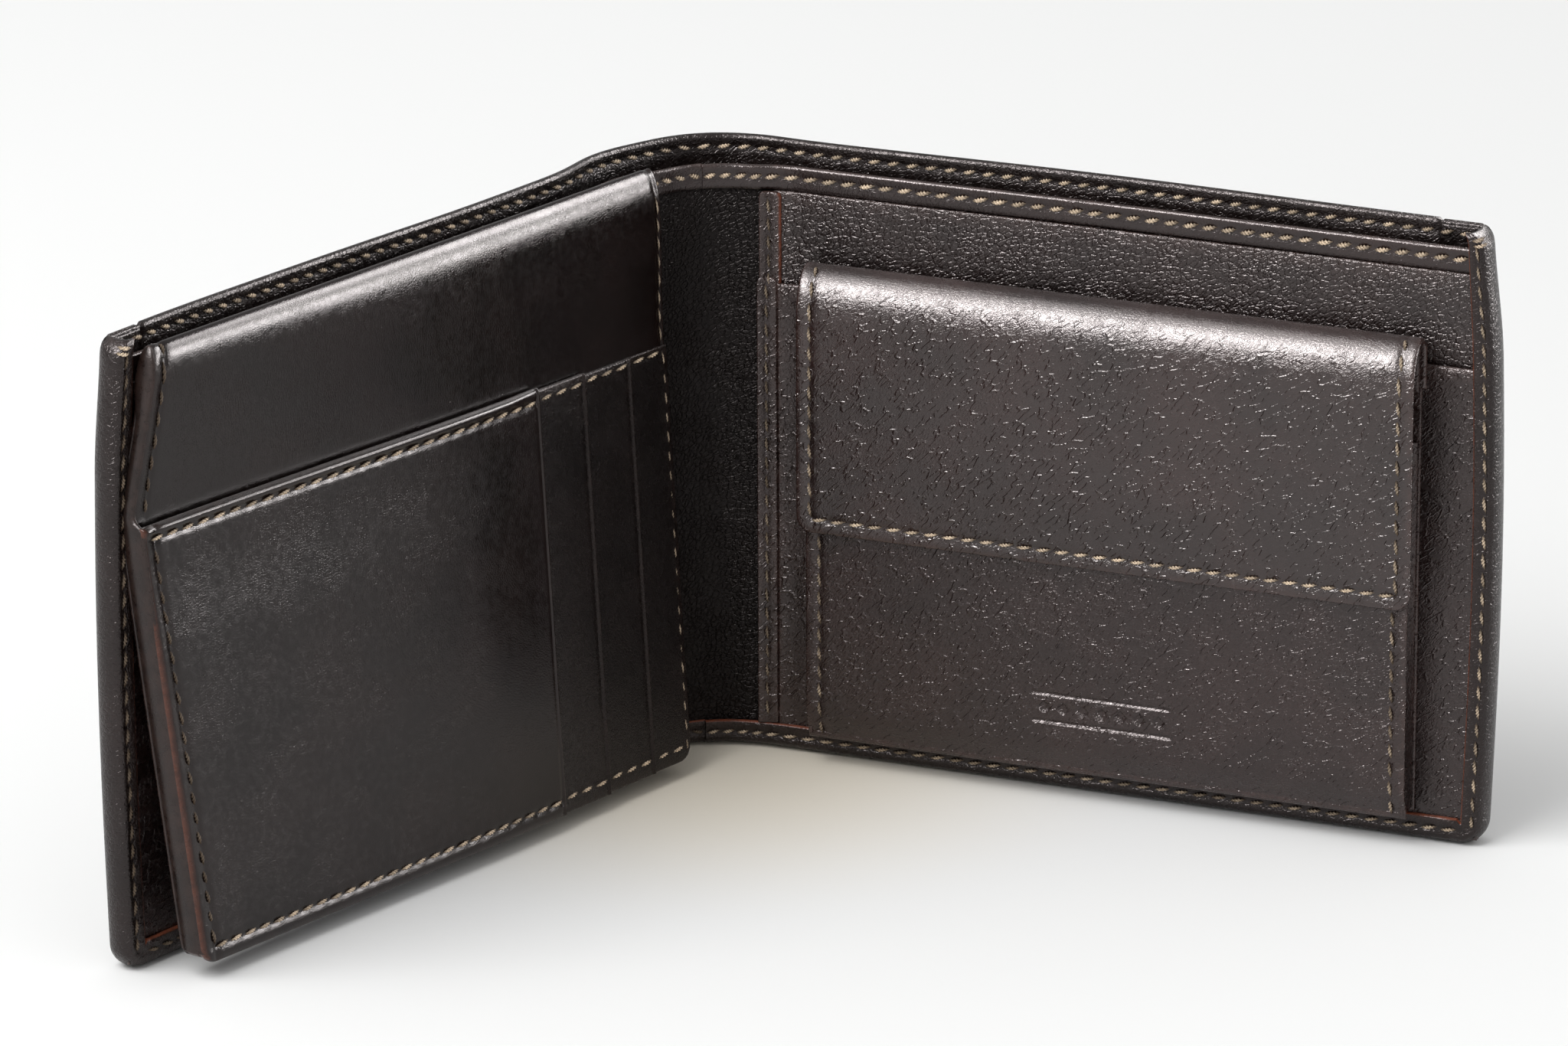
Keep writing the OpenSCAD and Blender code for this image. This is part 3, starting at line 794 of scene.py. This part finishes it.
coin_place = on_half(1, front_hi[1], soft=0.0)
coin_rows = np.unique(np.concatenate([grid_lines(front_lo[2], front_hi[2], 1.5),
                                      np.arange(12.2, 18.0, 0.22)]))
coin_columns = np.unique(np.concatenate([
    grid_lines(front_lo[0], front_hi[0], STEP, fine=(near_seam, far_seam)),
    np.arange(MARK_U - 12, MARK_U + 12, 0.25)]))
coin_seams = [("q", u, front_lo[2], front_hi[2]) for u in (near_seam, far_seam)]


def coin_top(a, q):
    """The pocket bellies out a little and is drawn in along the bottom."""
    belly = 0.5 * np.sin(np.pi * np.clip((a - front_lo[0]) / (front_hi[0] - front_lo[0]), 0, 1))
    return belly * smooth(q, 5, 30) - 1.2 * smooth(q, 9, 4.6) + mark(a, q)


coin_front = slab("coin_front_leather", coin_place, coin_columns, coin_rows, front_hi[1] - front_lo[1],
                  COIN, rim=0.33, top=coin_top, seams=coin_seams)
fix(coin_front, "coin_front", "pocket_leather", "coin_front_panel")
# The coin pocket's side stitches are dimmed as painted shade.
fix(sew("coin_front_stitches", coin_place,
        [((u, front_hi[2] - 6.0), (u, front_lo[2] + 0.6)) for u in (near_seam, far_seam)], THREAD,
        surface=sunk(0.12, coin_top), shade_dimming=0.55), "coin_front", "thread", "coin_front_thread")


def on_gusset(edge, inwards):
    """Side wall of the coin pocket: a runs from back to front, and its middle folds inwards."""
    depth = front_lo[1] - 0.05 - back_hi[1]

    def place(a, h, q):
        fold = 1 - np.abs(2 * a / depth - 1)
        rise = smooth(q, 6, 50)
        return on_row(edge + inwards * (fold * 2.2 * rise + 0.3 - h), back_hi[1] + a, q)
    return place, depth


for name, edge, inwards in (("coin_gusset_near", front_lo[0], 1), ("coin_gusset_far", front_hi[0], -1)):
    place, depth = on_gusset(edge, inwards)
    gusset = slab(name + "_leather", place, grid_lines(0, depth, 0.3), grid_lines(5.2, 62, 2.0), 0.4, COIN,
                  rim=0.15)
    fix(gusset, "right_half", "pocket_leather", name)
floor_place = on_half(1, front_lo[1] - 0.3, soft=0.0)
coin_floor = slab("coin_pocket_floor_leather", floor_place,
                  grid_lines(front_lo[0] + 0.6, front_hi[0] - 0.6, 3.0), grid_lines(5.0, 5.8, 0.4), 4.0, COIN,
                  rim=0.2)
fix(coin_floor, "right_half", "pocket_leather", "coin_pocket_floor")

# ---- coin pocket flap ----

flap_lo, flap_hi = local_box("coin_flap_leather", RIGHT)
flap_axis = hinge("coin_flap_lift")
FLAP_AXIS_D = FOLD_RIGHT[1] - flap_axis[1]
FLAP_AXIS_Z = flap_axis[2]
FLAP_R = flap_hi[2] - FLAP_AXIS_Z
FLAP_RISE = 8.0
FLAP_DEEP = 4.4
FLAP_BACK = flap_hi[1] - FLAP_DEEP - local_box("coin_pocket_back", RIGHT)[1][1]
flap_straight = FLAP_AXIS_Z + FLAP_R - FLAP_RISE - flap_lo[2]
flap_quarter = math.pi / 2 * (FLAP_RISE + FLAP_DEEP) / 2
flap_back = math.pi / 2 * FLAP_BACK


def flap_path(q):
    """Depth, height and outward direction of the flap's skin at q up from its bottom edge."""
    theta = np.clip((q - flap_straight) / flap_quarter, 0, 1) * math.pi / 2
    phi = np.clip((q - flap_straight - flap_quarter) / flap_back, 0, 1) * math.pi / 2
    down = np.maximum(q - flap_straight - flap_quarter - flap_back, 0)
    over = phi > 0
    depth = flap_hi[1] - FLAP_DEEP * (1 - np.cos(theta)) - FLAP_BACK * np.sin(phi)
    height = flap_lo[2] + np.minimum(q, flap_straight) + FLAP_RISE * np.sin(theta) * np.cos(phi)
    height = np.where(over, FLAP_AXIS_Z + FLAP_R - FLAP_BACK * (1 - np.cos(phi)) - down, height)
    out_d = np.where(over, -np.sin(phi), np.cos(theta) * FLAP_RISE)
    out_z = np.where(over, np.cos(phi), np.sin(theta) * FLAP_DEEP)
    size = np.hypot(out_d, out_z)
    return depth, height, out_d / size, out_z / size


def on_flap(a, h, q):
    depth, height, out_d, out_z = flap_path(q)
    return on_row(a, depth + h * out_d, height + h * out_z)


def flap_top(a, q):
    """The flap bellies out a little along its middle."""
    middle = np.clip((a - flap_lo[0]) / (flap_hi[0] - flap_lo[0]), 0, 1)
    return 0.45 * np.sin(np.pi * middle) * smooth(q, 0, 14) * smooth(q, 46, 30)


flap_end = flap_straight + flap_quarter + flap_back + 6.0
flap_a_seams = (flap_lo[0] + SEAM, flap_hi[0] - SEAM)
seams = [("q", u, SEAM, flap_straight + flap_quarter) for u in flap_a_seams]
seams.append(("a", SEAM, flap_a_seams[0], flap_a_seams[1]))
flap = slab("coin_flap_leather_skin", on_flap, grid_lines(flap_lo[0], flap_hi[0], 0.75, fine=flap_a_seams),
            grid_lines(0, flap_end, 0.9, fine=(SEAM,)), 0.85, FLAP, rim=0.4, radii=(2.6, 2.6, 0, 0),
            top=flap_top, seams=seams)
roll_back, roll_front = (tuple(on_row(0.0, d, FLAP_AXIS_Z) * MM) for d in (6.2, 11.1))
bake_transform(flap)
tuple(roll_back)
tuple(roll_front)
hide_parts("coin_flap_leather")
# The flap's side stitches are dimmed as painted shade.
fix(sew("coin_flap_stitches", on_flap,
        [((u, flap_straight + flap_quarter * 0.9), (u, SEAM)) for u in flap_a_seams], THREAD,
        surface=sunk(0.12, flap_top), shade_dimming=0.6), "coin_flap", "thread", "coin_flap_thread")
fix(sew("coin_flap_bottom_stitches", on_flap, [((flap_a_seams[0], SEAM), (flap_a_seams[1], SEAM))], THREAD,
        surface=sunk(0.12, flap_top)), "coin_flap", "thread")

lining_lo, lining_hi = local_box("coin_flap_lining", RIGHT)
flap_lining = slab("coin_flap_lining_leather", on_half(1, lining_hi[1] + 0.25, soft=0.0),
                   grid_lines(lining_lo[0] + 0.2, lining_hi[0] - 0.2, 2.0),
                   grid_lines(lining_lo[2] + 0.2, FLAP_AXIS_Z - 7.5, 2.0), lining_hi[1] - lining_lo[1] + 0.25,
                   COIN, rim=0.2, radii=(2.4, 2.4, 0, 0))
fix(flap_lining, "coin_flap", "lining", "coin_flap_lining")

strip_lo, strip_hi = local_box("coin_flap_hinge_strip", RIGHT)
hinge_strip = slab("coin_flap_hinge_leather", on_half(1, strip_hi[1] - 0.1, soft=0.0),
                   grid_lines(strip_lo[0], strip_hi[0], 3.0), grid_lines(strip_lo[2], strip_hi[2], 0.8),
                   strip_hi[1] - strip_lo[1] - 0.1, COIN, rim=0.5)
fix(hinge_strip, "right_half", "pocket_leather", "coin_flap_hinge_strip")

# ---- left half: inner panel and card wing ----

panel("inner_panel_leather", "inner_panel_left", -1, COIN, step=2.5)

CAD_TILT = math.radians(2)
LEAN = math.radians(4)
wing_axis = hinge("wing_flip")
WING_AXIS_D = (wing_axis - FOLD_LEFT) @ N_LEFT
WING_AXIS_Z = wing_axis[2]
WING_U0 = local_box("wing_front_panel", LEFT)[0][0]
WING_W = local_box("wing_front_panel", LEFT)[1][0] - WING_U0
WING_LEN = (WING_AXIS_Z - local_box("wing_front_panel", LEFT)[0][2]) / math.cos(CAD_TILT)
WING_R = 1.9
ROLL_RISE = 5.4
ROLL_V = ROLL_RISE - WING_R
ROLL_QUARTER = math.pi / 2 * (WING_R + ROLL_RISE) / 2
POCKET_V = 24.0
SLOTS = (0.0, 8.2, 18.8, 29.4)


def wing_flow(u, v):
    """Towards its free end the wing is creased at the pocket's mouth, so its edge bends there."""
    free = smooth(u, WING_W - 70, WING_W)
    away = (v - POCKET_V) / np.where(v < POCKET_V, POCKET_V, WING_LEN - POCKET_V)
    tent = np.clip(1.08 - np.sqrt(away ** 2 + 0.0064), 0, 1)
    return 3.9 * free * tent, -2.4 * free * tent


def wing_face(q):
    """How far the wing's front stands out from its axis, below the roll."""
    return WING_R - 0.9 * smooth(q, ROLL_V, 24)


def wing_on_row(u, w, v):
    """Puts a point of the wing on the row: u along the wing, w out from its axis, v down it."""
    shift_u, shift_w = wing_flow(u, v)
    w = w + shift_w
    d = WING_AXIS_D + w * math.cos(LEAN) + v * math.sin(LEAN)
    z = WING_AXIS_Z + w * math.sin(LEAN) - v * math.cos(LEAN)
    return on_row(-ARC - WING_U0 - u - shift_u, d, z)


def on_wing(skin=0.0):
    """h is out from the wing's front. q runs down it, and q under ROLL_V goes over the roll."""
    def place(a, h, q):
        a, h, q = np.broadcast_arrays(np.asarray(a, float), h, q)
        theta = np.clip((ROLL_V - q) / ROLL_QUARTER, 0, 2) * math.pi / 2
        normal_w, normal_v = np.cos(theta) * ROLL_RISE, -np.sin(theta) * WING_R
        size = np.hypot(normal_w, normal_v)
        w = WING_R * np.cos(theta) + h * normal_w / size
        v = ROLL_V - ROLL_RISE * np.sin(theta) + h * normal_v / size
        flat = q >= ROLL_V
        w = np.where(flat, wing_face(q) + skin + h, w)
        return wing_on_row(a, w, np.where(flat, q, v))
    return place


def fix_wing(obj, slot, *nodes):
    """A wing piece turns with the wing."""
    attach(obj, "wing")
    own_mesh(obj)
    if nodes:
        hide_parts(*nodes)
    return obj


def wing_body(a, q):
    """The wing is two leathers thick below its roll."""
    return 0.8 + 1.6 * smooth(q, ROLL_V, ROLL_V + 7)


def slot_fold(index):
    """A card slot's mouth is a narrow turned fold."""
    start = SLOTS[index]
    return lambda a, q: 0.14 * hump(a, start + 0.32, 0.24) - 0.12 * hump(a, start + 0.85, 0.22)


near_u, far_u = 0.9, WING_W - SEAM
roll_q = ROLL_V - 1.9 * ROLL_QUARTER
pocket_lip = POCKET_V + 1.9
front_seams = [("q", near_u, roll_q, WING_LEN), ("q", far_u, roll_q, POCKET_V - 1)]
wing_front = slab("wing_front_leather", on_wing(), grid_lines(0, WING_W, STEP, fine=(near_u, far_u)),
                  np.unique(np.concatenate([grid_lines(roll_q, ROLL_V, 0.5),
                                            grid_lines(ROLL_V, WING_LEN, 1.5)])),
                  wing_body, WING, rim=0.4, radii=(0, 0, 2.5, 2.5), seams=front_seams, raw=(0, 0.08, 0, 0))
fix_wing(wing_front, "pocket_leather", "wing_front_panel")

wing_back = slab("wing_back_leather", on_wing(-2.4), grid_lines(0, WING_W, 1.5),
                 grid_lines(ROLL_V + 0.6, WING_LEN, 1.5), 0.6, WING, rim=0.25, radii=(0, 0, 2.5, 2.5),
                 seams=[("q", near_u, 5, WING_LEN), ("q", far_u, 5, WING_LEN)])
fix_wing(wing_back, "pocket_leather", "wing_back_panel")

base_layer = slab("wing_slot_base_leather", on_wing(0.3), grid_lines(0, WING_W - 0.6, STEP),
                  grid_lines(POCKET_V + 1.0, WING_LEN, 1.5, fine=(pocket_lip,)), 0.6, SLOT, rim=0.3,
                  radii=(0, 0, 2.5, 2.5), seams=[("a", pocket_lip, near_u, SLOTS[1] - 0.5)])
fix_wing(base_layer, "pocket_leather")
layers = (("wing_slot_panel_low", 1, 1.0, 0.5), ("wing_slot_panel_mid", 2, 0.5, 1.0))
for node, index, drop, skin in layers:
    layer = slab(node + "_leather", on_wing(skin),
                 grid_lines(SLOTS[index], WING_W - 0.2, STEP, fine=(SLOTS[index] + 0.5,)),
                 grid_lines(POCKET_V + drop, WING_LEN + 0.1 * index, 1.5), 0.9, SLOT, rim=0.4,
                 radii=(0, 0, 0, 2.5), top=slot_fold(index))
    fix_wing(layer, "pocket_leather", node)


def pocket_top(a, q):
    """The pocket's mouth is a thick turned edge, and its body is padded by the cards' room."""
    mouth = 0.50 * hump(q, POCKET_V + 0.6, 0.7) * smooth(a, SLOTS[3], SLOTS[3] + 8)
    return mouth + slot_fold(3)(a, q) + 0.3 * smooth(a, 32, 46) * smooth(q, 30, 45)


pocket_seams = [("a", pocket_lip, SLOTS[3] + 0.6, WING_W - 1), ("q", far_u, POCKET_V, WING_LEN),
                ("a", WING_LEN - SEAM, SLOTS[3] + 0.6, WING_W - 1)]
pocket = slab("wing_pocket_leather", on_wing(1.7),
              grid_lines(SLOTS[3], WING_W + 0.1, 0.75, fine=(far_u, SLOTS[3] + 0.5)),
              grid_lines(POCKET_V, WING_LEN + 0.3, 1.4, fine=(pocket_lip, WING_LEN - SEAM)),
              1.7, WING, rim=0.8, radii=(0, 0, 0, 2.5), top=pocket_top, seams=pocket_seams,
              raw=(0, 0.25, 0, 0))
fix_wing(pocket, "pocket_leather", "wing_pocket_panel")

# The near edge's row starts low on the roll, clear of the piping inside it.
near_top, free_top = ROLL_V - 0.2 * ROLL_QUARTER, ROLL_V - 0.95 * ROLL_QUARTER
# The wing's edge stitches are dimmed as painted shade, those on the free edge most.
fix_wing(sew("wing_near_edge_stitches", on_wing(), [((near_u, near_top), (near_u, POCKET_V + 0.6))],
             THREAD, surface=sunk(0.05), shade_dimming=0.6, fat=0.6), "thread", "wing_edge_thread")
fix_wing(sew("wing_near_edge_stitches_low", on_wing(0.3),
             [((near_u, POCKET_V + 1.6), (near_u, WING_LEN - 1))], THREAD, surface=sunk(0.12), shade_dimming=0.6,
             fat=0.6), "thread")
fix_wing(sew("wing_free_edge_stitches", on_wing(), [((far_u, free_top), (far_u, POCKET_V - 1))], THREAD,
             surface=sunk(0.2), shade_dimming=0.25), "thread")
fix_wing(sew("wing_base_stitches", on_wing(0.3),
             [((near_u + 0.4, WING_LEN - SEAM), (SLOTS[1] - 0.3, WING_LEN - SEAM)),
              ((near_u + 0.4, pocket_lip), (SLOTS[1] - 0.3, pocket_lip))], THREAD,
             surface=sunk(0.12)), "thread")
for index, skin in ((1, 0.5), (2, 1.0)):
    lo, hi = SLOTS[index] + 0.6, SLOTS[index + 1] - 0.3
    fix_wing(sew(f"wing_slot_stitches_{index}", on_wing(skin),
                 [((lo, WING_LEN - SEAM), (hi, WING_LEN - SEAM)), ((lo, pocket_lip), (hi, pocket_lip))],
                 THREAD, surface=sunk(0.05)), "thread")
fix_wing(sew("wing_pocket_stitches", on_wing(1.7),
             [((SLOTS[3] + 0.8, pocket_lip), (WING_W - 1.2, pocket_lip)),
              ((SLOTS[3] + 0.8, WING_LEN - SEAM), (far_u, WING_LEN - SEAM))], THREAD,
             surface=sunk(0.12, pocket_top)), "thread", "wing_pocket_thread")
# The pocket's free edge stitches are dimmed as painted shade.
fix_wing(sew("wing_pocket_free_edge_stitches", on_wing(1.7),
             [((far_u, POCKET_V + 3.2), (far_u, WING_LEN - SEAM))], THREAD,
             surface=sunk(0.2, pocket_top), shade_dimming=0.25), "thread")

EDGE_OUT = 0.7


def on_wing_edge(a, h, q):
    """The wing's painted free edge: a runs round it from front to back, q runs down from the roll."""
    a, h, q = np.broadcast_arrays(np.asarray(a, float), h, q)
    above = np.clip(ROLL_V - q, 0, ROLL_RISE) / ROLL_RISE
    round_off = np.sqrt(np.clip(1 - above ** 2, 0, 1))
    body = wing_face(q)
    front = np.where(q < ROLL_V, WING_R * round_off, body + 1.75 * smooth(q, POCKET_V - 1.0, POCKET_V + 0.4))
    back = np.where(q < ROLL_V, -WING_R * round_off, body - 2.55 - 1.25 * smooth(q, ROLL_V + 6, ROLL_V))
    turn = math.pi * a
    w = (front + back) / 2 + ((front - back) / 2 + h) * np.cos(turn)
    u = WING_W - 0.35 + (EDGE_OUT * np.minimum(1, 1.5 * round_off) + h) * np.sin(turn)
    return wing_on_row(u, w, q)


wing_edge = slab("wing_free_edge_leather", on_wing_edge, np.linspace(0, 1, 15),
                 grid_lines(ROLL_V - ROLL_RISE + 0.1, WING_LEN - 1.4, 0.7), 0.3, EDGE_PAINT, rim=0.1)
fix_wing(wing_edge, "pocket_leather")

for node, material in (("wing_hinge_core", SLOT), ("snap_stud", BRASS), ("snap_socket", BRASS)):
    frame["nodes"][node].data.materials.clear()
    frame["nodes"][node].data.materials.append(material)

# ---- stage, light and camera ----

def stage():
    """A pale floor, with a painted warm glow of bounced light beside the spine."""
    mesh = bpy.data.meshes.new("floor")
    reach = 6.0
    mesh.from_pydata([(-reach, -reach, 0), (reach, -reach, 0), (reach, reach, 0), (-reach, reach, 0)], [],
                     [(0, 1, 2, 3)])
    floor = bpy.data.objects.new("floor", mesh)
    bpy.context.scene.collection.objects.link(floor)
    n = Nodes("pale_floor")
    spine = tuple((FOLD_RIGHT + FOLD_LEFT) / 2 * MM)
    gap = n.node("ShaderNodeVectorMath", {0: n.place, 1: spine}, operation="DISTANCE").outputs["Value"]
    pale = n.mix(n.noise(300.0, 1.0), (0.90, 0.905, 0.90, 1), (0.92, 0.92, 0.915, 1))
    # Painted light: a warm glow of bounced light on the floor round the spine, fixed in place on the floor.
    painted_bounce_light = n.mix(n.ramp(gap, 0.012, 0.075, 0.8, 0.0), pale, (0.95, 0.86, 0.70, 1))
    n.feed(n.shader.inputs["Base Color"], painted_bounce_light)
    n.shader.inputs["Roughness"].default_value = 0.6
    n.shader.inputs["Specular IOR Level"].default_value = 0.0
    floor.data.materials.append(n.material)


def softbox(name, direction, distance, size, radiance, glossy_only=False, target=(0, 0, 0.07)):
    """A rectangular light, seen from its target in one direction. Radiance 1 is paper white."""
    light = bpy.data.lights.new(name, "AREA")
    light.shape = "RECTANGLE"
    light.size, light.size_y = size
    light.energy = radiance * math.pi * size[0] * size[1]
    obj = bpy.data.objects.new(name, light)
    bpy.context.scene.collection.objects.link(obj)
    target = Vector(target)
    aim = Vector(direction).normalized()
    obj.location = target + aim * distance
    obj.rotation_euler = (-aim).to_track_quat("-Z", "Y").to_euler()
    obj.visible_diffuse = not glossy_only


def lights():
    """An even pale room and one soft key. The glows are seen only as reflections in the leather."""
    world = bpy.data.worlds.new("studio")
    bpy.context.scene.world = world
    world.use_nodes = True
    world.node_tree.nodes["Background"].inputs["Color"].default_value = (1.0, 1.0, 1.0, 1)
    world.node_tree.nodes["Background"].inputs["Strength"].default_value = 0.64
    softbox("key", (-0.36, -0.50, 0.80), 1.5, (1.2, 1.0), 4.6)
    softbox("flap_glow", (-0.354, -0.75, 0.56), 1.3, (0.70, 0.50), 27.0, glossy_only=True)
    softbox("wing_glow", (0.885, 0.46, 0.10), 1.3, (0.60, 0.26), 30.0, glossy_only=True)
    softbox("spine_glow", (0.78, 0.48, 0.40), 1.3, (0.40, 0.44), 10.0, glossy_only=True)
    softbox("mouth_glow", (0.60, 0.55, 0.58), 0.26, (0.12, 0.10), 22.0, glossy_only=True,
            target=(-0.045, 0.01, 0.068))


def camera():
    """Stands where a camera fitted to the photograph's outline stood."""
    data = bpy.data.cameras.new("camera")
    data.lens = 246.4
    data.sensor_width = 36
    data.clip_end = 50
    obj = bpy.data.objects.new("camera", data)
    azimuth, elevation, roll = math.radians(-22.114), math.radians(19.681), math.radians(-0.18)
    look = Vector((math.sin(azimuth) * math.cos(elevation), math.cos(azimuth) * math.cos(elevation),
                   -math.sin(elevation)))
    turn = look.to_track_quat("-Z", "Y").to_matrix().to_4x4() @ Matrix.Rotation(roll, 4, "Z")
    stand = Vector((0.54216, -1.34233, 0.5763))
    obj.matrix_world = Matrix.Translation(stand) @ turn
    bpy.context.scene.collection.objects.link(obj)
    bpy.context.scene.camera = obj


stage()
lights()
camera()
bpy.context.scene.view_settings.view_transform = "Standard"
